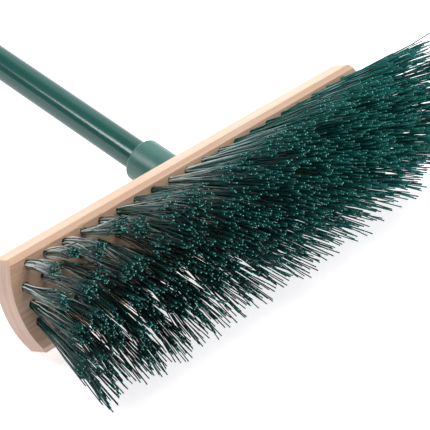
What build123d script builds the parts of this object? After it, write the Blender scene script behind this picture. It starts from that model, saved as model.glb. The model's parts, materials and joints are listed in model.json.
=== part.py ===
from build123d import *
import os
from math import asin, atan2, cos, degrees, hypot, radians, sin, sqrt, tan

# Push broom, lying on the floor with its block's lower back edge and the end of its handle.
# X runs along the block, the handle points to +Y, +Z is up and the floor is Z = 0.
# The head plane lies in the block's front face: x along the block, y up the face, z out of it
# towards the tufts. The handle plane stands where the handle's axis meets the block's back face:
# z runs up the handle and y points at the handle's underside.

# Block
BLOCK_LENGTH = 430.0        # over both domed ends
BLOCK_WIDTH = 84.0
BLOCK_THICKNESS = 24.0
END_BULGE = 10.5            # how far each end arc stands out from its corners
BEVEL_ACROSS = 4.8          # bevel on the long front edges, measured across the face
BEVEL_DEEP = 2.7            # and into the thickness
CORNER_ROUND = 2.0          # between the long edges and the end arcs
EDGE_ROUND = 0.8            # broken edges of the wood

# Tufts
TUFT_PITCH = 20.0           # along a row
ROW_SPACING = 15.7
TUFTS_IN_ROW = (20, 21, 21, 21, 20)
TUFT_RADIUS = 3.75
TUFT_LENGTH = 88.0          # from the wood to the tips
TIP_RADIUS = 8.0            # a tuft's radius at its tips, where the filaments have spread
HOLE_DEPTH = 14.0
MOUTH_LENGTH = 3.0          # straight stretch out of the hole before the filaments spread
END_LEAN = 22.0             # degrees, outward lean of the last tufts of a row
TOP_ROW_LEAN = 4.0          # degrees, up the face
BOTTOM_ROW_LEAN = -27.0
ANCHOR_LENGTH = 8.3         # longer than the hole is wide, so its ends bite the wood
ANCHOR_THICKNESS = 0.5
ANCHOR_WIDTH = 2.3
ANCHOR_DEPTH = 12.8         # its deep edge

# Socket
SOCKET_TILT = 33.0          # degrees, between the handle and the square to the block's back
SOCKET_HEIGHT = 8.0         # of the handle's axis above the middle line of the back face
SOCKET_LENGTH = 60.0
COLLAR_RADIUS = 20.0
COLLAR_RIM_ROUND = 2.5
MOUTH_CHAMFER = 1.0
FLANGE_LENGTH = 100.0
FLANGE_WIDTH = 66.0
FLANGE_RISE = 3.0           # of the flange's middle above the middle line of the back face
FLANGE_THICKNESS = 4.0
FLANGE_CORNER = 9.0
RIB_THICKNESS = 4.0
SIDE_RIB_REACH = 38.0
SIDE_RIB_HEIGHT = 16.0
UNDER_RIB_HEIGHT = 30.0
RIB_ROOT = 1.0              # how far the ribs run into the collar

# Flange screws
SCREW_SPACING_X = 76.0
SCREW_SPACING_Y = 46.0
SCREW_RADIUS = 2.2
SCREW_IN_WOOD = 8.5
SCREW_POINT = 3.0
SCREW_HEAD_RADIUS = 4.5
SCREW_HEAD_HEIGHT = 3.0
SCREW_SHOULDER = (0.72, 0.75)  # a point of the head's outline, as shares of its radius and height
CLEARANCE_HOLE_RADIUS = 2.5
CROSS_LENGTH = 4.6
CROSS_WIDTH = 0.9
CROSS_DEEP = 1.4

# Clamping screw under the collar, with its captive square nut
BOSS_WIDTH = 16.0
BOSS_REACH = 26.5           # from the handle's axis to the boss's outer face
LOCK_HEIGHT = 40.0          # of the screw above the block's back, along the handle
LOCK_RADIUS = 2.5
LOCK_HEAD_RADIUS = 4.6
LOCK_HEAD_HEIGHT = 4.0
LOCK_GAP = 0.3              # under its head and at its tip
LOCK_TIP_CHAMFER = 0.5
LOCK_HEAD_CHAMFER = 0.6
HEX_RADIUS = 2.3
HEX_DEEP = 2.2
NUT_WIDTH = 8.0
NUT_HEIGHT = 4.0
NUT_REACH = 18.6            # from the handle's axis to the nut's inner face
NUT_PLAY = 0.1

# Handle
HANDLE_LENGTH = 1400.0      # from the foot plug to the end of the cap
HANDLE_RADIUS = 14.0
SLEEVE_THICKNESS = 0.5
TUBE_THICKNESS = 0.8
RUNNING_CLEARANCE = 0.06
FOOT_GAP = 0.4              # between the foot plug's lowest edge and the block
FOOT_DISC = 2.0
FOOT_CHAMFER = 1.0
PLUG_LENGTH = 26.0
CAP_STEM = 30.0
CAP_BARREL = 5.0
CAP_DOME = 7.0              # the dome ends below the hanging hole
CAP_TAB_CENTRE = 20.0       # of the round tab and its hanging hole, above the tube's end
CAP_TAB_THICKNESS = 10.0
CAP_TAB_ROUND = 2.0
HANG_HOLE_RADIUS = 4.5

# Places along the handle, from the block's back face
tilt = radians(SOCKET_TILT)
foot = HANDLE_RADIUS * tan(tilt) + FOOT_GAP
tube_start = foot + FOOT_DISC
tab_centre = foot + HANDLE_LENGTH - HANDLE_RADIUS
tube_end = tab_centre - CAP_TAB_CENTRE
tube_outer = HANDLE_RADIUS - SLEEVE_THICKNESS
tube_inner = tube_outer - TUBE_THICKNESS

# How the broom lies: one floor line touches the rounded lower back edge and the cap's round tab.
reach_up = SOCKET_HEIGHT + sin(tilt) * tab_centre + BLOCK_WIDTH / 2 - EDGE_ROUND
reach_back = cos(tilt) * tab_centre + EDGE_ROUND
lie = atan2(reach_up, reach_back) - asin((HANDLE_RADIUS - EDGE_ROUND) / hypot(reach_up, reach_back))
face_height = (EDGE_ROUND + (BLOCK_WIDTH / 2 - EDGE_ROUND) * cos(lie)
               + (BLOCK_THICKNESS - EDGE_ROUND) * sin(lie))


def tuft_places():
    """Every tuft as (row, x, y, direction) in the head plane."""
    places = []
    rows = len(TUFTS_IN_ROW)
    for row, count in enumerate(TUFTS_IN_ROW):
        share = row / (rows - 1)
        up = tan(radians(TOP_ROW_LEAN + (BOTTOM_ROW_LEAN - TOP_ROW_LEAN) * share))
        y = ((rows - 1) / 2 - row) * ROW_SPACING
        for k in range(count):
            x = (k - (count - 1) / 2) * TUFT_PITCH
            along = tan(radians(END_LEAN * x / (BLOCK_LENGTH / 2 - TUFT_PITCH)))
            places.append((row, x, y, Vector(along, up, 1).normalized()))
    return places


def foremost(y, direction):
    """How far one tuft's tip disc reaches towards the front, from the face's centre."""
    tip_y = y + TUFT_LENGTH * direction.Y
    tip_z = TUFT_LENGTH * direction.Z
    level = direction.Z * cos(lie) - direction.Y * sin(lie)
    return tip_z * cos(lie) - tip_y * sin(lie) + TIP_RADIUS * sqrt(1 - level**2)


tufts = tuft_places()
front_reach = max(foremost(y, direction) for row, x, y, direction in tufts)
tab_up = SOCKET_HEIGHT + sin(tilt) * tab_centre
tab_back = BLOCK_THICKNESS + cos(tilt) * tab_centre
back_reach = tab_up * sin(lie) + tab_back * cos(lie) + HANDLE_RADIUS

# Planes. The origin is midway between the foremost tips and the end of the handle.
head = Plane(origin=(0, (front_reach - back_reach) / 2, face_height),
             x_dir=(1, 0, 0), z_dir=(0, -cos(lie), sin(lie)))
back = head.offset(-BLOCK_THICKNESS)
head_axis = Axis(head.origin, head.z_dir)
head_side = Plane(origin=head.origin, x_dir=head.y_dir, z_dir=(1, 0, 0))
handle = Plane(origin=head.from_local_coords((0, SOCKET_HEIGHT, -BLOCK_THICKNESS)),
               x_dir=(1, 0, 0),
               z_dir=head.y_dir * sin(tilt) - head.z_dir * cos(tilt))
handle_side = Plane(origin=handle.origin, x_dir=(1, 0, 0), z_dir=-handle.y_dir)
handle_axis = Axis(handle.origin, handle.z_dir)
cap_side = Plane(origin=handle.from_local_coords((0, 0, tab_centre)),
                 x_dir=handle.z_dir, z_dir=(1, 0, 0))
lock = Plane(origin=handle.from_local_coords((0, 0, LOCK_HEIGHT)),
             x_dir=(1, 0, 0), z_dir=handle.y_dir)
lock_axis = Axis(lock.origin, lock.z_dir)
lock_side = Plane(origin=lock.origin, x_dir=(1, 0, 0), z_dir=-lock.y_dir)


def tuft_plane(x, y, direction):
    """Plane across one tuft where it leaves the wood."""
    return Plane(origin=head.from_local_coords((x, y, 0)), x_dir=(1, 0, 0),
                 z_dir=head.x_dir * direction.X + head.y_dir * direction.Y
                 + head.z_dir * direction.Z)


def side_of(plane):
    """Plane through a plane's axis, for the profile of a piece turned about that axis."""
    return Plane(origin=plane.origin, x_dir=plane.x_dir, z_dir=-plane.y_dir)


# Block: beech, domed ends, bevelled long front edges, blind tuft holes and four pilot holes
half_length = BLOCK_LENGTH / 2
corner_x = half_length - END_BULGE
half_width = BLOCK_WIDTH / 2

with BuildPart() as block:
    with BuildSketch(back):
        with BuildLine():
            Line((-corner_x, half_width), (corner_x, half_width))
            ThreePointArc((corner_x, half_width), (half_length, 0), (corner_x, -half_width))
            Line((corner_x, -half_width), (-corner_x, -half_width))
            ThreePointArc((-corner_x, -half_width), (-half_length, 0), (-corner_x, half_width))
        make_face()
    extrude(amount=BLOCK_THICKNESS)
    fillet(block.edges().filter_by(head_axis), CORNER_ROUND)
    fillet(block.edges().group_by(head_axis)[0], EDGE_ROUND)
    for edge_side in (1, -1):
        with BuildSketch(head_side):
            with BuildLine():
                Polyline((edge_side * half_width, 0),
                         (edge_side * (half_width - BEVEL_ACROSS), 0),
                         (edge_side * half_width, -BEVEL_DEEP), close=True)
            make_face()
        extrude(amount=half_length, both=True, mode=Mode.SUBTRACT)
    for row, x, y, direction in tufts:
        with BuildSketch(tuft_plane(x, y, direction).offset(-HOLE_DEPTH)):
            Circle(TUFT_RADIUS)
        extrude(amount=HOLE_DEPTH + MOUTH_LENGTH, mode=Mode.SUBTRACT)
    with BuildSketch(back):
        with Locations((0, FLANGE_RISE)):
            with GridLocations(SCREW_SPACING_X, SCREW_SPACING_Y, 2, 2):
                Circle(SCREW_RADIUS)
    extrude(amount=SCREW_IN_WOOD, mode=Mode.SUBTRACT)
block.part.label = "block"

# Tufts: one node for each row, and one turned solid for each folded bundle of filaments
tuft_rows = []
for row in range(len(TUFTS_IN_ROW)):
    with BuildPart() as tuft_row:
        for tuft_in_row, x, y, direction in tufts:
            if tuft_in_row != row:
                continue
            plane = tuft_plane(x, y, direction)
            with BuildSketch(side_of(plane)):
                with BuildLine():
                    Polyline((0, -HOLE_DEPTH), (TUFT_RADIUS, -HOLE_DEPTH), (TUFT_RADIUS, MOUTH_LENGTH),
                             (TIP_RADIUS, TUFT_LENGTH), (0, TUFT_LENGTH), close=True)
                make_face()
            revolve(axis=Axis(plane.origin, plane.z_dir))
            with BuildSketch(plane.offset(-ANCHOR_DEPTH)):
                Rectangle(ANCHOR_LENGTH, ANCHOR_THICKNESS)
            extrude(amount=ANCHOR_WIDTH, mode=Mode.SUBTRACT)
    tuft_row.part.label = f"tuft_row_{row + 1}"
    tuft_rows.append(tuft_row)

# Anchors: one piece of flat wire across the foot of each tuft, its ends pressed into the wood
with BuildPart() as tuft_anchors:
    for row, x, y, direction in tufts:
        with BuildSketch(tuft_plane(x, y, direction).offset(-ANCHOR_DEPTH)):
            Rectangle(ANCHOR_LENGTH, ANCHOR_THICKNESS)
        extrude(amount=ANCHOR_WIDTH)
tuft_anchors.part.label = "tuft_anchors"

# Handle socket: moulded in one piece, a tilted collar on a flange, with ribs and a screw boss
flange_back = back.offset(-FLANGE_THICKNESS)
rib_foot = SOCKET_HEIGHT - COLLAR_RADIUS / cos(tilt)
rib_top_y = SOCKET_HEIGHT + UNDER_RIB_HEIGHT * sin(tilt) - (COLLAR_RADIUS - RIB_ROOT) * cos(tilt)
rib_top_z = -BLOCK_THICKNESS - UNDER_RIB_HEIGHT * cos(tilt) - (COLLAR_RADIUS - RIB_ROOT) * sin(tilt)
flange_foot = FLANGE_RISE - FLANGE_WIDTH / 2 + RIB_THICKNESS

with BuildPart() as handle_socket:
    with BuildSketch(handle.offset(-COLLAR_RADIUS)):
        Circle(COLLAR_RADIUS)
    extrude(amount=SOCKET_LENGTH + COLLAR_RADIUS)
    fillet(handle_socket.edges().sort_by(handle_axis)[-1], COLLAR_RIM_ROUND)
    with BuildSketch(lock):
        Rectangle(BOSS_WIDTH, BOSS_WIDTH)
    extrude(amount=BOSS_REACH)
    with BuildSketch(flange_back):
        with Locations((0, FLANGE_RISE)):
            RectangleRounded(FLANGE_LENGTH, FLANGE_WIDTH, FLANGE_CORNER)
    extrude(amount=FLANGE_THICKNESS)
    with BuildSketch(handle_side):
        with BuildLine():
            Polyline((-SIDE_RIB_REACH, 0), (SIDE_RIB_REACH, 0),
                     (COLLAR_RADIUS - RIB_ROOT, SIDE_RIB_HEIGHT), (RIB_ROOT - COLLAR_RADIUS, SIDE_RIB_HEIGHT),
                     close=True)
        make_face()
    extrude(amount=RIB_THICKNESS / 2, both=True)
    with BuildSketch(head_side):
        with BuildLine():
            Polyline((flange_foot, -BLOCK_THICKNESS - FLANGE_THICKNESS), (rib_top_y, rib_top_z),
                     (rib_foot + COLLAR_RADIUS, -BLOCK_THICKNESS - FLANGE_THICKNESS), close=True)
        make_face()
    extrude(amount=RIB_THICKNESS / 2, both=True)
    with BuildSketch(back):
        Rectangle(BLOCK_LENGTH, BLOCK_WIDTH)
    extrude(amount=2 * COLLAR_RADIUS, mode=Mode.SUBTRACT)
    with BuildSketch(handle.offset(-COLLAR_RADIUS)):
        Circle(HANDLE_RADIUS + RUNNING_CLEARANCE)
    extrude(amount=SOCKET_LENGTH + COLLAR_RADIUS, mode=Mode.SUBTRACT)
    mouth = handle_socket.edges().filter_by(GeomType.CIRCLE).sort_by(handle_axis)[-1]
    chamfer(mouth, MOUTH_CHAMFER)
    with BuildSketch(back):
        with Locations((0, FLANGE_RISE)):
            with GridLocations(SCREW_SPACING_X, SCREW_SPACING_Y, 2, 2):
                Circle(CLEARANCE_HOLE_RADIUS)
    extrude(amount=-FLANGE_THICKNESS, mode=Mode.SUBTRACT)
    with BuildSketch(lock):
        Circle(LOCK_RADIUS + LOCK_GAP)
    extrude(amount=BOSS_REACH, mode=Mode.SUBTRACT)
    with BuildSketch(lock.offset(NUT_REACH)):
        with Locations((0, (BOSS_WIDTH - NUT_WIDTH) / 4)):
            Rectangle(NUT_WIDTH + NUT_PLAY, (BOSS_WIDTH + NUT_WIDTH) / 2)
    extrude(amount=NUT_HEIGHT + NUT_PLAY, mode=Mode.SUBTRACT)
handle_socket.part.label = "handle_socket"

# Flange screws: four pan-head wood screws with a cross recess
screw_places = [(side * SCREW_SPACING_X / 2, FLANGE_RISE + level * SCREW_SPACING_Y / 2)
                for side in (-1, 1) for level in (-1, 1)]
shank = FLANGE_THICKNESS + SCREW_IN_WOOD
with BuildPart() as flange_screws:
    for x, y in screw_places:
        seat = Plane(origin=flange_back.from_local_coords((x, y, 0)), x_dir=(1, 0, 0), z_dir=head.z_dir)
        with BuildSketch(side_of(seat)):
            with BuildLine():
                ThreePointArc((0, -SCREW_HEAD_HEIGHT),
                              (SCREW_SHOULDER[0] * SCREW_HEAD_RADIUS,
                               -SCREW_SHOULDER[1] * SCREW_HEAD_HEIGHT),
                              (SCREW_HEAD_RADIUS, 0))
                Polyline((SCREW_HEAD_RADIUS, 0), (SCREW_RADIUS, 0), (SCREW_RADIUS, shank - SCREW_POINT),
                         (0, shank), (0, -SCREW_HEAD_HEIGHT))
            make_face()
        revolve(axis=Axis(seat.origin, seat.z_dir))
        with BuildSketch(seat.offset(-SCREW_HEAD_HEIGHT)):
            Rectangle(CROSS_LENGTH, CROSS_WIDTH)
            Rectangle(CROSS_WIDTH, CROSS_LENGTH)
        extrude(amount=CROSS_DEEP, mode=Mode.SUBTRACT)
flange_screws.part.label = "flange_screws"

# Captive square nut in the boss's slot
with BuildPart() as lock_nut:
    with BuildSketch(lock.offset(NUT_REACH + NUT_PLAY / 2)):
        Rectangle(NUT_WIDTH, NUT_WIDTH)
        Circle(LOCK_RADIUS + RUNNING_CLEARANCE, mode=Mode.SUBTRACT)
    extrude(amount=NUT_HEIGHT)
lock_nut.part.label = "lock_nut"

# Clamping screw: round head with a hexagon socket, its tip just short of the handle
lock_tip = HANDLE_RADIUS + LOCK_GAP
lock_seat = BOSS_REACH + LOCK_GAP
lock_top = lock_seat + LOCK_HEAD_HEIGHT
with BuildPart() as lock_screw:
    with BuildSketch(lock_side):
        with BuildLine():
            Polyline((0, lock_tip), (LOCK_RADIUS - LOCK_TIP_CHAMFER, lock_tip),
                     (LOCK_RADIUS, lock_tip + LOCK_TIP_CHAMFER),
                     (LOCK_RADIUS, lock_seat), (LOCK_HEAD_RADIUS, lock_seat),
                     (LOCK_HEAD_RADIUS, lock_top - LOCK_HEAD_CHAMFER),
                     (LOCK_HEAD_RADIUS - LOCK_HEAD_CHAMFER, lock_top),
                     (0, lock_top), close=True)
        make_face()
    revolve(axis=lock_axis)
    with BuildSketch(lock.offset(lock_top)):
        RegularPolygon(HEX_RADIUS, 6)
    extrude(amount=-HEX_DEEP, mode=Mode.SUBTRACT)
lock_screw.part.label = "lock_screw"

# Handle: a thin steel tube in a glossy plastic sleeve, closed by a foot plug and an end cap
with BuildPart() as handle_tube:
    with BuildSketch(handle.offset(tube_start)):
        Circle(tube_outer)
        Circle(tube_inner, mode=Mode.SUBTRACT)
    extrude(amount=tube_end - tube_start)
handle_tube.part.label = "handle_tube"

with BuildPart() as handle_sleeve:
    with BuildSketch(handle.offset(tube_start)):
        Circle(HANDLE_RADIUS)
        Circle(tube_outer, mode=Mode.SUBTRACT)
    extrude(amount=tube_end - tube_start)
handle_sleeve.part.label = "handle_sleeve"

with BuildPart() as foot_plug:
    with BuildSketch(handle_side):
        with BuildLine():
            Polyline((0, foot), (HANDLE_RADIUS - FOOT_CHAMFER, foot),
                     (HANDLE_RADIUS, foot + FOOT_CHAMFER),
                     (HANDLE_RADIUS, tube_start), (tube_inner, tube_start),
                     (tube_inner, foot + PLUG_LENGTH), (0, foot + PLUG_LENGTH), close=True)
        make_face()
    revolve(axis=handle_axis)
foot_plug.part.label = "foot_plug"

with BuildPart() as end_cap:
    with BuildSketch(cap_side):
        Circle(HANDLE_RADIUS)
        with Locations((-CAP_TAB_CENTRE / 4, 0)):
            Rectangle(CAP_TAB_CENTRE / 2, 2 * HANDLE_RADIUS)
    extrude(amount=CAP_TAB_THICKNESS / 2, both=True)
    fillet(end_cap.edges().group_by(Axis.X)[0] + end_cap.edges().group_by(Axis.X)[-1], CAP_TAB_ROUND)
    with BuildSketch(handle_side):
        with BuildLine():
            Polyline((0, tube_end + CAP_BARREL + CAP_DOME), (0, tube_end - CAP_STEM),
                     (tube_inner, tube_end - CAP_STEM), (tube_inner, tube_end),
                     (HANDLE_RADIUS, tube_end), (HANDLE_RADIUS, tube_end + CAP_BARREL))
            TangentArc((0, tube_end + CAP_BARREL + CAP_DOME), (HANDLE_RADIUS, tube_end + CAP_BARREL),
                       tangent=(1, 0))
        make_face()
    revolve(axis=handle_axis)
    with BuildSketch(cap_side):
        Circle(HANG_HOLE_RADIUS)
    extrude(amount=CAP_TAB_THICKNESS, both=True, mode=Mode.SUBTRACT)
end_cap.part.label = "end_cap"

os.makedirs("parts", exist_ok=True)
for piece in (block, *tuft_rows, tuft_anchors, handle_socket, flange_screws, lock_nut, lock_screw,
              handle_tube, handle_sleeve, foot_plug, end_cap):
    export_step(piece.part, f"parts/{piece.part.label}.step")
print("lies at", round(degrees(lie), 3), "degrees, tab centre", cap_side.origin)
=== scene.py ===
import json
from math import asin, cos, radians, sin

import bpy
import numpy as np
from mathutils import Matrix, Vector


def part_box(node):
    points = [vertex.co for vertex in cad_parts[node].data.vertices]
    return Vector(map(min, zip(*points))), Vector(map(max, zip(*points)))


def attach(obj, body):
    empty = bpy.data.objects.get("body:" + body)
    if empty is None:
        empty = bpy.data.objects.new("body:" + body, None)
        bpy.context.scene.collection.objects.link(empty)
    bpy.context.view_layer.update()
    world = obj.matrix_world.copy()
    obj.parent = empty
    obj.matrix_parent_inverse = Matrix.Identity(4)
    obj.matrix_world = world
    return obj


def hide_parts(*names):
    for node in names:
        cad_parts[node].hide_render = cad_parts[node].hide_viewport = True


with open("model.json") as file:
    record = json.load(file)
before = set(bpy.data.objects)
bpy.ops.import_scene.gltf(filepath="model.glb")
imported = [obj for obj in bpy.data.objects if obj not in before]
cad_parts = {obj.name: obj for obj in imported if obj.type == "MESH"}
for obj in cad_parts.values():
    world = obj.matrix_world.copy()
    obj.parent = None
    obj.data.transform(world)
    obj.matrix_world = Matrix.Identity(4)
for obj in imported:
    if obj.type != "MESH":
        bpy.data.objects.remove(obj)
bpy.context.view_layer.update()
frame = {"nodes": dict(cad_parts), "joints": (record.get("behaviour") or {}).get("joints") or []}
scene = bpy.context.scene

# ---------------------------------------------------------------------------------------------
# Camera. It looks down on the head of the broom from the front left through a long lens, and
# leans a few degrees to its left.
# ---------------------------------------------------------------------------------------------
camera_place = Vector((-0.9142, -1.4798, 1.0895))
camera_aim = Vector((-0.0126, -0.6836, 0.0500))
camera_roll = radians(5.25)
camera_lens = bpy.data.cameras.new("studio_camera")
camera_lens.lens = 155.8
camera_lens.sensor_width = 36.0
camera = bpy.data.objects.new("studio_camera", camera_lens)
scene.collection.objects.link(camera)
level_view = (camera_aim - camera_place).to_track_quat("-Z", "Y").to_matrix().to_4x4()
lean_left = Matrix.Rotation(camera_roll, 4, "Z")
camera.matrix_world = Matrix.Translation(camera_place) @ level_view @ lean_left
scene.camera = camera
scene.view_settings.view_transform = "Standard"

# ---------------------------------------------------------------------------------------------
# Floor. A wide sheet of matt white studio board under everything. It gives off an even light of
# its own, so that it stays near white where the broom shades it.
# ---------------------------------------------------------------------------------------------
floor_half = 14.0
floor_mesh = bpy.data.meshes.new("studio_floor")
floor_mesh.from_pydata(
    [(-floor_half, -floor_half, 0), (floor_half, -floor_half, 0),
     (floor_half, floor_half, 0), (-floor_half, floor_half, 0)], [], [(0, 1, 2, 3)])
studio_floor = bpy.data.objects.new("studio_floor", floor_mesh)
scene.collection.objects.link(studio_floor)


def new_material(name, roughness, specular=0.5, metallic=0.0):
    """A material whose shader has the values that are the same all over the surface."""
    material = bpy.data.materials.new(name)
    material.use_nodes = True
    shader = material.node_tree.nodes["Principled BSDF"]
    shader.inputs["Roughness"].default_value = roughness
    shader.inputs["Specular IOR Level"].default_value = specular
    shader.inputs["Metallic"].default_value = metallic
    return material


board = new_material("white_board", roughness=0.9, specular=0.1)
board_shader = board.node_tree.nodes["Principled BSDF"]
board_shader.inputs["Base Color"].default_value = (0.62, 0.61, 0.625, 1)
board_shader.inputs["Emission Color"].default_value = (1.0, 0.985, 1.0, 1)
board_shader.inputs["Emission Strength"].default_value = 0.75
floor_mesh.materials.append(board)

# ---------------------------------------------------------------------------------------------
# Light. A large soft box high on the right behind the broom, a small one high on the left, and
# a pale room around them. The room's ceiling is dark on the left, and shows as the dark bands
# along the glossy handle.
# ---------------------------------------------------------------------------------------------
world = bpy.data.worlds.new("studio_room")
world.use_nodes = True
room = world.node_tree.nodes["Background"]
room.inputs["Color"].default_value = (0.98, 0.975, 1.0, 1)
room_direction = world.node_tree.nodes.new("ShaderNodeTexCoord")
toward_shade = world.node_tree.nodes.new("ShaderNodeVectorMath")
toward_shade.operation = "DOT_PRODUCT"
toward_shade.inputs[1].default_value = (-0.58, 0.0, 0.815)
room_level = world.node_tree.nodes.new("ShaderNodeMapRange")
room_level.interpolation_type = "SMOOTHSTEP"
room_level.inputs["From Min"].default_value = 0.25
room_level.inputs["From Max"].default_value = 0.60
room_level.inputs["To Min"].default_value = 1.1
room_level.inputs["To Max"].default_value = 0.14
world.node_tree.links.new(room_direction.outputs["Generated"], toward_shade.inputs[0])
world.node_tree.links.new(toward_shade.outputs["Value"], room_level.inputs["Value"])
world.node_tree.links.new(room_level.outputs["Result"], room.inputs["Strength"])
scene.world = world
head_place = Vector((0.0, -0.64, 0.05))


def soft_box(name, direction, distance, width, height, power, glossy):
    """A rectangular light that faces the broom's head from a direction, at a distance.

    Glossy says whether it shows as a highlight on smooth surfaces.
    """
    lamp = bpy.data.lights.new(name, "AREA")
    lamp.shape = "RECTANGLE"
    lamp.size = width
    lamp.size_y = height
    lamp.energy = power
    lamp_object = bpy.data.objects.new(name, lamp)
    toward = Vector(direction).normalized()
    lamp_object.location = head_place + toward * distance
    lamp_object.rotation_mode = "QUATERNION"
    lamp_object.rotation_quaternion = toward.to_track_quat("Z", "Y")
    lamp_object.visible_camera = False
    lamp_object.visible_glossy = glossy
    scene.collection.objects.link(lamp_object)


soft_box("large_soft_box", direction=(0.42, 0.22, 0.88), distance=2.6, width=2.4, height=2.4,
         power=70.0, glossy=False)
soft_box("small_soft_box", direction=(-0.53, 0.51, 0.68), distance=2.2, width=0.42, height=1.1,
         power=18.0, glossy=True)

# ---------------------------------------------------------------------------------------------
# Block. One plank of beech, sawn to length with domed ends, planed with a bevel on its two long
# front edges, sanded and left bare, then drilled for the tufts. Its grain runs along it, and its
# sawn ends are darker.
# ---------------------------------------------------------------------------------------------
# The block leans back by the socket's tilt plus the small slope of the handle as it lies.
socket_tilt = radians(33.0)
pull_axis = next(joint["axis"] for joint in frame["joints"] if joint["name"] == "handle_pull")
lie = socket_tilt + asin(-pull_axis[2])
beech_pale = (0.79, 0.565, 0.44, 1)
beech_mid = (0.66, 0.415, 0.275, 1)
beech_ray = (0.46, 0.27, 0.17, 1)
end_grain_pale = (0.565, 0.385, 0.292, 1)
end_grain_dark = (0.475, 0.307, 0.226, 1)

# Noise in the block's own directions, for every material here. Its mask is not yet cut to a band.
grain_group = bpy.data.node_groups.new("grain", "ShaderNodeTree")
grain_group.interface.new_socket("Along", in_out="INPUT", socket_type="NodeSocketFloat")
grain_group.interface.new_socket("Across", in_out="INPUT", socket_type="NodeSocketFloat")
grain_group.interface.new_socket("Deep", in_out="INPUT", socket_type="NodeSocketFloat")
grain_group.interface.new_socket("Mask", in_out="OUTPUT", socket_type="NodeSocketFloat")
grain_in = grain_group.nodes.new("NodeGroupInput")
grain_out = grain_group.nodes.new("NodeGroupOutput")
grain_place = grain_group.nodes.new("ShaderNodeTexCoord")
grain_turn = grain_group.nodes.new("ShaderNodeVectorRotate")
grain_turn.rotation_type = "X_AXIS"
grain_turn.inputs["Angle"].default_value = lie - radians(90.0)
grain_stretch = grain_group.nodes.new("ShaderNodeCombineXYZ")
grain_scaled = grain_group.nodes.new("ShaderNodeVectorMath")
grain_scaled.operation = "MULTIPLY"
grain_noise = grain_group.nodes.new("ShaderNodeTexNoise")
grain_noise.inputs["Scale"].default_value = 1.0
grain_noise.inputs["Detail"].default_value = 4.0
grain_noise.inputs["Roughness"].default_value = 0.6
grain_group.links.new(grain_in.outputs["Along"], grain_stretch.inputs["X"])
grain_group.links.new(grain_in.outputs["Across"], grain_stretch.inputs["Y"])
grain_group.links.new(grain_in.outputs["Deep"], grain_stretch.inputs["Z"])
grain_group.links.new(grain_place.outputs["Object"], grain_turn.inputs["Vector"])
grain_group.links.new(grain_turn.outputs["Vector"], grain_scaled.inputs[0])
grain_group.links.new(grain_stretch.outputs["Vector"], grain_scaled.inputs[1])
grain_group.links.new(grain_scaled.outputs["Vector"], grain_noise.inputs["Vector"])
grain_group.links.new(grain_noise.outputs["Fac"], grain_out.inputs["Mask"])


def grain(material, along, across, deep, low, high):
    """Noise cut to a band of its value, from 0 at low to 1 at high.

    Its coordinates are scaled along the block, across the face and into the thickness, so the
    smallest of the three numbers gives the direction that the streaks run in.
    """
    nodes, links = material.node_tree.nodes, material.node_tree.links
    streaks = nodes.new("ShaderNodeGroup")
    streaks.node_tree = grain_group
    streaks.inputs["Along"].default_value = along
    streaks.inputs["Across"].default_value = across
    streaks.inputs["Deep"].default_value = deep
    band = nodes.new("ShaderNodeMapRange")
    band.interpolation_type = "SMOOTHSTEP"
    band.inputs["From Min"].default_value = low
    band.inputs["From Max"].default_value = high
    links.new(streaks.outputs["Mask"], band.inputs["Value"])
    return band.outputs["Result"]


def blend_colour(material, mask, first, second):
    """Colour that goes from first to second with the mask. Each is a colour or a node's socket."""
    nodes, links = material.node_tree.nodes, material.node_tree.links
    mix = nodes.new("ShaderNodeMix")
    mix.data_type = "RGBA"
    for name, value in (("A_Color", first), ("B_Color", second)):
        socket = next(s for s in mix.inputs if s.identifier == name)
        if isinstance(value, tuple):
            socket.default_value = value
        else:
            links.new(value, socket)
    factor = next(s for s in mix.inputs if s.identifier == "Factor_Float")
    links.new(mask, factor)
    return next(s for s in mix.outputs if s.identifier == "Result_Color")


def bump(material, height, distance, strength):
    """Raises the surface by a mask through the shader's normal."""
    nodes, links = material.node_tree.nodes, material.node_tree.links
    raised = nodes.new("ShaderNodeBump")
    raised.inputs["Distance"].default_value = distance
    raised.inputs["Strength"].default_value = strength
    links.new(height, raised.inputs["Height"])
    links.new(raised.outputs["Normal"], nodes["Principled BSDF"].inputs["Normal"])


def colour_surface(material, colour):
    """Feeds a colour socket to the shader."""
    shader = material.node_tree.nodes["Principled BSDF"]
    material.node_tree.links.new(colour, shader.inputs["Base Color"])


def wear_material(node, material):
    """Puts a material in every slot of a CAD node."""
    for slot in frame["nodes"][node].material_slots:
        slot.material = material


beech = new_material("bare_beech", roughness=0.45, specular=0.75)
broad = grain(beech, along=2.2, across=48.0, deep=95.0, low=0.36, high=0.66)
fine = grain(beech, along=9.0, across=380.0, deep=520.0, low=0.42, high=0.60)
rays = grain(beech, along=130.0, across=900.0, deep=900.0, low=0.66, high=0.72)
rings = grain(beech, along=30.0, across=22.0, deep=620.0, low=0.38, high=0.64)
# Sawn ends are where the surface faces along the block.
sawn_ends = beech.node_tree.nodes.new("ShaderNodeMapRange")
sawn_ends.inputs["From Min"].default_value = 0.75
sawn_ends.inputs["From Max"].default_value = 0.95
facing = beech.node_tree.nodes.new("ShaderNodeNewGeometry")
facing_split = beech.node_tree.nodes.new("ShaderNodeSeparateXYZ")
facing_size = beech.node_tree.nodes.new("ShaderNodeMath")
facing_size.operation = "ABSOLUTE"
beech.node_tree.links.new(facing.outputs["True Normal"], facing_split.inputs["Vector"])
beech.node_tree.links.new(facing_split.outputs["X"], facing_size.inputs[0])
beech.node_tree.links.new(facing_size.outputs["Value"], sawn_ends.inputs["Value"])
streaked = blend_colour(beech, broad, beech_pale, beech_mid)
toned = blend_colour(beech, fine, streaked, beech_mid)
flecked = blend_colour(beech, rays, toned, beech_ray)
sawn = blend_colour(beech, rings, end_grain_pale, end_grain_dark)
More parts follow.
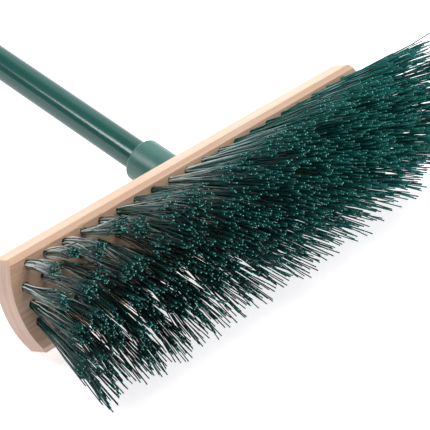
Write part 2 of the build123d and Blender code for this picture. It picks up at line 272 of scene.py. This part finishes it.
bare = blend_colour(beech, sawn_ends.outputs["Result"], flecked, sawn)
colour_surface(beech, bare)
bump(beech, fine, distance=0.0002, strength=0.5)
wear_material("block", beech)

# ---------------------------------------------------------------------------------------------
# Tufts. Each is a bundle of glossy round plastic filaments, folded in half over a wire anchor at
# the bottom of its hole, so its cut ends all stand out of it. They spread as they leave the wood.
# Use has bent them outwards, most at the right, and down. Some at the left carry a painted
# glint: pale colour that stands in for highlights on the glossy filaments.
# ---------------------------------------------------------------------------------------------
block_half_width, bevel_deep = 0.042, 0.0027
block_low, block_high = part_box("block")
# The outer edges of the two bevels touch the block's box, which gives the middle of the face.
face_centre = np.array([
    0.0,
    block_low[1] + block_half_width * sin(lie) - bevel_deep * cos(lie),
    block_high[2] - block_half_width * cos(lie) + bevel_deep * sin(lie)])
# The head's axes: along the block, up its face, and straight out of its face.
head_axes = np.array([[1, 0, 0], [0, sin(lie), cos(lie)], [0, -cos(lie), sin(lie)]])

tuft_pitch, row_spacing = 0.020, 0.0157
tufts_in_row = (20, 21, 21, 21, 20)
middle_row, last_row = 2, 4
half_row = 0.195
ends_per_tuft = 36
golden_angle = 2.39996
full_turn = 6.28

filament_radius = 0.0005
sides, stations = 6, 12
cut_end_growth = 1.15
free_length = 0.089
root_depth = 0.010
bundle_radius = 0.0031
left_spread, right_spread = 0.0080, 0.0112
spread_per_row = 0.10
tip_scatter, tip_scatter_most = 0.0019, 0.0035

shift_along, shift_along_per_row, shift_up, shift_most = 3.0, 0.3, 2.4, 1.6
stretch_size = 0.0022
cut_short, cut_long = -0.0045, 0.0025

bow_size, wave_size, kink_size = 0.0011, 0.00012, 0.012
waves_along = 17
bow_starts, wave_starts, wave_growth = 0.1, 0.12, 8
kink_first, kink_last = 0.35, 0.8
kinked_share, kinked_share_worn = 0.05, 0.45
worn_bend, most_bend_up = 0.03, 0.006
worn_shorter, worn_tighter, worn_calmer = 0.24, 0.35, 0.6
# How slack at the wood and worn at the left end the rows are, and how much painted glint they
# get, from the top one down.
slack_of_row = (1.0, 0.5, 0.3, 0.2, 0.2)
worn_of_row = (1.0, 0.5, 0.2, 0.0, 0.0)
glint_of_row = (1.0, 0.42, 0.2, 0.14, 0.12)


def set_lean(x, row):
    """Lean of a used tuft in degrees, along the block and up the face, at x in metres.

    Along the block it grows evenly to the right, up to a limit, and follows a quarter of a sine
    wave to the left. Up the face it goes evenly from the top row's lean to the bottom row's.
    """
    right_rise, right_most = 31.5, 28.0
    left_most, left_per_row, left_over = 10.5, 1.8, 0.11
    top_middle, top_right_rise, top_left_rise = 3.5, 0.8, 3.0
    top_left_from, top_left_over = 0.15, 0.045
    bottom_left, bottom_rise, block_half = -28.0, 13.0, 0.2
    right = np.clip(right_rise * x / half_row, 0, right_most)
    left = -(left_most + left_per_row * row) * np.sin(np.pi / 2 * np.clip(-x / left_over, 0, 1))
    share = row / last_row
    top = (top_middle + top_right_rise * np.clip(x / half_row, 0, 1)
           + top_left_rise * np.clip((-x - top_left_from) / top_left_over, 0, 1))
    bottom = bottom_left + bottom_rise * (x + block_half) / (2 * block_half)
    return right + left, top + (bottom - top) * share


def lean_direction(along, up):
    """Unit vectors that lean by two angles in degrees from the face's normal."""
    vectors = np.stack([np.tan(np.radians(along)), np.tan(np.radians(up)),
                        np.ones_like(along)], axis=-1)
    return vectors / np.linalg.norm(vectors, axis=-1, keepdims=True)


def filament_paths(row, random):
    """Centre lines of one row's filaments in the head's axes, as filaments x stations x 3.

    Each is a cubic curve from the hole's axis to its tip: the tip is the root, plus the length
    along the tuft's lean, plus the filament's place in the bundle grown to the spread radius.
    A bow (half a sine wave), a slight wave and a bend past a kink are added across it.

    Three finishes from 0 to 1 come with them: how far a painted glint, standing in for highlights,
    makes the filament pale at each station; how light the green is, partly at random and partly
    painted light that grows to the right; and how light the cut end is.
    """
    count = tufts_in_row[row]
    column = np.repeat(np.arange(count), ends_per_tuft)
    number = np.tile(np.arange(ends_per_tuft), count)
    total = count * ends_per_tuft
    x = (column - (count - 1) / 2) * tuft_pitch
    y = np.full(total, (middle_row - row) * row_spacing)
    tuft_shift = np.clip(random.normal(0, 1, (count, 2)), -shift_most, shift_most)[column]
    tuft_stretch = random.normal(0, stretch_size, count)[column]

    # Places in the bundle lie on a spiral, evenly filled.
    ring = np.sqrt((number + 0.5) / ends_per_tuft)
    turn = number * golden_angle + random.uniform(0, full_turn, count)[column]
    place = np.stack([ring * np.cos(turn), ring * np.sin(turn)], axis=1)

    # Slack filaments leave the hole a little upwards before they follow the tuft's lean.
    along, up = set_lean(x, row)
    along = along + (shift_along - shift_along_per_row * row) * tuft_shift[:, 0]
    up = up + shift_up * tuft_shift[:, 1]
    tip_direction = lean_direction(along, up)
    slack_from, slack_over = 0.05, 0.20
    slack = (np.clip((slack_from - x) / slack_over, 0, 1) * slack_of_row[row])[:, None]
    loose_share, loose_left, loose_up = 0.2, 4.0, 9.0
    loose_direction = lean_direction(loose_share * along - loose_left, np.full_like(up, loose_up))
    hole_direction = tip_direction * (1 - slack) + loose_direction * slack

    # The worn tufts of the left end are shorter and tighter.
    worn_from, worn_over = 0.10, 0.06
    worn = np.clip((-x - worn_from) / worn_over, 0, 1) * worn_of_row[row]
    length = (free_length + tuft_stretch) * (1 - worn_shorter * worn)
    length = length + random.uniform(cut_short, cut_long, total)
    root = np.stack([x, y, np.zeros(total)], axis=1)
    tip = root + tip_direction * length[:, None]
    root[:, :2] += place * bundle_radius
    start = root - hole_direction * root_depth
    left_until, right_from = -0.13, -0.08
    spread = np.interp(x, (left_until, right_from), (left_spread, right_spread))
    spread = spread[:, None] * (1 + spread_per_row * row)
    scatter = random.normal(0, tip_scatter, (total, 2))
    scatter = np.clip(scatter, -tip_scatter_most, tip_scatter_most)
    tip[:, :2] += (place * spread + scatter) * (1 - worn_tighter * worn)[:, None]

    t = np.linspace(0, 1, stations)[None, :, None]
    reach = (length + root_depth)[:, None, None]
    leave = hole_direction[:, None, :] * reach
    arrive = (tip - start)[:, None, :]
    curve = ((2 * t**3 - 3 * t**2 + 1) * start[:, None, :] + (t**3 - 2 * t**2 + t) * leave
             + (3 * t**2 - 2 * t**3) * tip[:, None, :] + (t**3 - t**2) * arrive)

    bow = random.normal(0, bow_size, (total, 1, 2))
    wave = random.normal(0, wave_size, (total, 1, 2))
    phase = random.uniform(0, full_turn, (total, 1, 1))
    kink_chance = (kinked_share + kinked_share_worn * worn)[:, None, None]
    kinked = random.uniform(0, 1, (total, 1, 1)) < kink_chance
    kink_place = random.uniform(kink_first, kink_last, (total, 1, 1))
    kink = random.normal(0, kink_size, (total, 1, 2)) * kinked
    kink = kink * (1 - worn_calmer * worn)[:, None, None]
    # A worn tuft also bends as a whole, mostly to the right.
    bend_size, bend_middle = (0.35, 0.2), (0.5, 0.05)
    tuft_bend = random.normal(0, bend_size, (count, 2))[column] + bend_middle
    kink += (worn_bend * worn[:, None] * tuft_bend)[:, None, :]
    kink[:, :, 1] = np.minimum(kink[:, :, 1], most_bend_up)
    wave_grows = np.clip(wave_growth * np.clip(t - wave_starts, 0, None), 0, 1)
    curve[:, :, :2] += (bow * np.sin(np.pi * t) * (t > bow_starts)
                        + wave * np.sin(waves_along * t + phase) * wave_grows
                        + kink * np.clip(t - kink_place, 0, None))

    # The painted glint is commonest at the left end: pale colour that stands in for highlights on
    # the glossy filaments. It is pale at the wood, and fades to green towards the tip.
    glint_places, glint_chances = (-0.12, 0.04, 0.10, 0.15), (0.30, 0.24, 0.10, 0.02)
    worn_chance, last_chance, last_from, last_over = 0.40, 0.08, 0.13, 0.05
    pale_least, pale_places, pale_sizes = 0.8, (-0.12, 0.05), (1.0, 0.6)
    fade_start, fade_rate = 1.55, 1.7
    chance = np.interp(x, glint_places, glint_chances) * glint_of_row[row]
    chance += worn_chance * worn + last_chance * np.clip((-x - last_from) / last_over, 0, 1)
    glint_strength = (random.uniform(0, 1, total) < chance) * random.uniform(pale_least, 1.0, total)
    glint_strength *= np.interp(x, pale_places, pale_sizes)
    fading = np.clip(fade_start - fade_rate * np.linspace(0, 1, stations), 0, 1)
    painted_glint = glint_strength[:, None] * fading[None, :]

    # The green varies at random from filament to filament, and painted light makes it lighter to
    # the right, where the strands catch more light.
    own_tint, right_painted_light, painted_light_from, painted_light_over = 0.45, 0.55, 0.10, 0.26
    tone_and_painted_light = own_tint * random.uniform(0, 1, total)
    tone_and_painted_light = tone_and_painted_light + right_painted_light * np.clip((x + painted_light_from) / painted_light_over, 0, 1)
    few_light = 1.8
    cut = random.uniform(0, 1, total) ** few_light
    return curve, painted_glint, tone_and_painted_light, cut


def filament_mesh(name, curve, painted_glint, tone_and_painted_light, cut, random):
    """Closed rods along the paths: a ring of six points at each station, square to the path.

    Smooth shading makes them look round. The last ring is a little wider, because the cutter
    squeezes the ends, and the flat end on it has the second material. The three finishes become
    point attributes.
    """
    total = len(curve)
    path = np.gradient(curve, axis=1)
    path /= np.linalg.norm(path, axis=2, keepdims=True)
    first = np.array([1.0, 0.0, 0.0]) - path * path[:, :, :1]
    first /= np.linalg.norm(first, axis=2, keepdims=True)
    second = np.cross(path, first)
    angle = np.arange(sides) * 2 * np.pi / sides
    thinnest, thickest = 0.9, 1.08
    radius = filament_radius * random.uniform(thinnest, thickest, (total, 1, 1, 1))
    growth = np.where(np.arange(stations) == stations - 1, cut_end_growth, 1.0)
    radius = radius * growth[None, :, None, None]
    ring = (np.cos(angle)[None, None, :, None] * first[:, :, None, :]
            + np.sin(angle)[None, None, :, None] * second[:, :, None, :])
    points = curve[:, :, None, :] + radius * ring
    points = points.reshape(-1, 3) @ head_axes + face_centre

    side = np.arange(sides)
    following = (side + 1) % sides
    station = np.arange(stations - 1)[:, None] * sides
    walls = np.stack([station + side, station + following,
                      station + sides + following, station + sides + side], axis=2).reshape(-1, 4)
    last = (stations - 1) * sides
    tip_faces = np.array([[0, 1, 2, 3], [0, 3, 4, 5]]) + last
    root_faces = np.array([[3, 2, 1, 0], [5, 4, 3, 0]])
    one = np.concatenate([walls, root_faces, tip_faces])
    faces = (one[None] + (np.arange(total) * stations * sides)[:, None, None]).reshape(-1, 4)

    mesh = bpy.data.meshes.new(name)
    mesh.vertices.add(len(points))
    mesh.vertices.foreach_set("co", points.astype(np.float32).ravel())
    mesh.loops.add(faces.size)
    mesh.loops.foreach_set("vertex_index", faces.astype(np.int32).ravel())
    mesh.polygons.add(len(faces))
    mesh.polygons.foreach_set("loop_start", np.arange(0, faces.size, 4, dtype=np.int32))
    mesh.polygons.foreach_set("loop_total", np.full(len(faces), 4, dtype=np.int32))
    tip_count, end_count = len(tip_faces), len(root_faces) + len(tip_faces)
    finish = np.zeros((total, len(one)), dtype=np.int32)
    finish[:, -tip_count:] = 1
    mesh.polygons.foreach_set("material_index", finish.ravel())
    smooth = np.ones((total, len(one)), dtype=bool)
    smooth[:, -end_count:] = False
    mesh.polygons.foreach_set("use_smooth", smooth.ravel())
    for attribute_name, values in (("tone_and_painted_light", np.repeat(tone_and_painted_light, stations * sides)),
                                   ("cut", np.repeat(cut, stations * sides)),
                                   ("painted_glint", np.repeat(painted_glint.ravel(), sides))):
        attribute = mesh.attributes.new(attribute_name, "FLOAT", "POINT")
        attribute.data.foreach_set("value", values.astype(np.float32))
    mesh.update(calc_edges=True)
    mesh.validate()
    return mesh


filament_dark, filament_light = (0.0030, 0.026, 0.024, 1), (0.008, 0.18, 0.16, 1)
# The pale colour is a painted glint: it stands in for highlights on the glossy filaments.
painted_glint_pale = (0.78, 0.83, 0.78, 1)
cut_dark, cut_light = (0.010, 0.12, 0.105, 1), (0.16, 0.66, 0.55, 1)

filament_green = new_material("filament_green", roughness=0.26, specular=0.25)
# This attribute mixes the filaments' own random tone with painted light that lightens the right.
filament_tone_and_light = filament_green.node_tree.nodes.new("ShaderNodeAttribute")
filament_tone_and_light.attribute_name = "tone_and_painted_light"
filament_colour = blend_colour(filament_green, filament_tone_and_light.outputs["Fac"],
                               filament_dark, filament_light)
# Where the painted glint attribute is high, the green gives way to the pale painted highlight.
filament_glint = filament_green.node_tree.nodes.new("ShaderNodeAttribute")
filament_glint.attribute_name = "painted_glint"
filament_colour = blend_colour(filament_green, filament_glint.outputs["Fac"], filament_colour,
                               painted_glint_pale)
colour_surface(filament_green, filament_colour)

cut_end_teal = new_material("cut_end_teal", roughness=0.55)
cut_tint = cut_end_teal.node_tree.nodes.new("ShaderNodeAttribute")
cut_tint.attribute_name = "cut"
cut_colour = blend_colour(cut_end_teal, cut_tint.outputs["Fac"], cut_dark, cut_light)
colour_surface(cut_end_teal, cut_colour)

first_seed = 40
for row in range(len(tufts_in_row)):
    random = np.random.default_rng(first_seed + row)
    row_name = f"bristle_row_{row + 1}"
    row_mesh = filament_mesh(row_name, *filament_paths(row, random), random)
    row_mesh.materials.append(filament_green)
    row_mesh.materials.append(cut_end_teal)
    bristles = bpy.data.objects.new(row_name, row_mesh)
    scene.collection.objects.link(bristles)
    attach(bristles, "head")
    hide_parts(f"tuft_row_{row + 1}")

# ---------------------------------------------------------------------------------------------
# Anchors. Short pieces of flat drawn wire. Each holds one folded tuft: it is pressed across the
# bottom of the hole, and its two ends bite into the wood.
# ---------------------------------------------------------------------------------------------
wire_bright, wire_dull = (0.55, 0.53, 0.49, 1), (0.42, 0.40, 0.37, 1)
drawn_wire = new_material("drawn_wire", roughness=0.35, metallic=1.0)
die_lines = grain(drawn_wire, along=300.0, across=1500.0, deep=1500.0, low=0.35, high=0.7)
colour_surface(drawn_wire, blend_colour(drawn_wire, die_lines, wire_bright, wire_dull))
wear_material("tuft_anchors", drawn_wire)

# ---------------------------------------------------------------------------------------------
# Handle socket. Moulded in one piece from green plastic with a fine matt texture: a tilted
# collar, a flange, ribs and a boss for the clamping screw.
# ---------------------------------------------------------------------------------------------
socket_light, socket_dark = (0.050, 0.155, 0.130, 1), (0.040, 0.132, 0.110, 1)
socket_green = new_material("socket_green", roughness=0.31)
socket_flow = grain(socket_green, along=40.0, across=40.0, deep=40.0, low=0.35, high=0.65)
socket_texture = grain(socket_green, along=1400.0, across=1400.0, deep=1400.0, low=0.3, high=0.7)
colour_surface(socket_green, blend_colour(socket_green, socket_flow, socket_light, socket_dark))
bump(socket_green, socket_texture, distance=0.00006, strength=0.5)
wear_material("handle_socket", socket_green)

# ---------------------------------------------------------------------------------------------
# Fasteners. Zinc-plated steel: four pan-head screws that hold the socket's flange to the block,
# and the clamping screw that holds the handle, in a square nut caught in the boss.
# ---------------------------------------------------------------------------------------------
zinc_bright, zinc_dull = (0.72, 0.73, 0.74, 1), (0.58, 0.60, 0.63, 1)
zinc_plate = new_material("zinc_plate", roughness=0.28, metallic=1.0)
zinc_cloud = grain(zinc_plate, along=260.0, across=260.0, deep=260.0, low=0.35, high=0.7)
colour_surface(zinc_plate, blend_colour(zinc_plate, zinc_cloud, zinc_bright, zinc_dull))
bump(zinc_plate, zinc_cloud, distance=0.00004, strength=0.4)
for fastener in ("flange_screws", "lock_nut", "lock_screw"):
    wear_material(fastener, zinc_plate)

# ---------------------------------------------------------------------------------------------
# Handle. A thin welded steel tube with a glossy green plastic coat extruded over it. It is pushed
# into the socket's collar, and slides out when the clamping screw is loose.
# ---------------------------------------------------------------------------------------------
steel_bright, steel_dull = (0.52, 0.52, 0.53, 1), (0.40, 0.40, 0.41, 1)
tube_steel = new_material("tube_steel", roughness=0.4, metallic=1.0)
steel_cloud = grain(tube_steel, along=90.0, across=90.0, deep=90.0, low=0.35, high=0.7)
colour_surface(tube_steel, blend_colour(tube_steel, steel_cloud, steel_bright, steel_dull))
wear_material("handle_tube", tube_steel)

coat_light, coat_dark = (0.014, 0.090, 0.074, 1), (0.011, 0.078, 0.065, 1)
coat_green = new_material("coat_green", roughness=0.17)
coat_cloud = grain(coat_green, along=60.0, across=12.0, deep=12.0, low=0.3, high=0.7)
colour_surface(coat_green, blend_colour(coat_green, coat_cloud, coat_light, coat_dark))
wear_material("handle_sleeve", coat_green)

# ---------------------------------------------------------------------------------------------
# Plug and cap. Moulded green plastic, pressed into the tube's two ends; the cap has a round tab
# with a hole to hang the broom by.
# ---------------------------------------------------------------------------------------------
cap_light, cap_dark = (0.026, 0.125, 0.103, 1), (0.020, 0.105, 0.087, 1)
cap_green = new_material("cap_green", roughness=0.42)
cap_texture = grain(cap_green, along=1100.0, across=1100.0, deep=1100.0, low=0.3, high=0.7)
cap_flow = grain(cap_green, along=50.0, across=50.0, deep=50.0, low=0.35, high=0.65)
colour_surface(cap_green, blend_colour(cap_green, cap_flow, cap_light, cap_dark))
bump(cap_green, cap_texture, distance=0.00005, strength=0.5)
for moulding in ("foot_plug", "end_cap"):
    wear_material(moulding, cap_green)
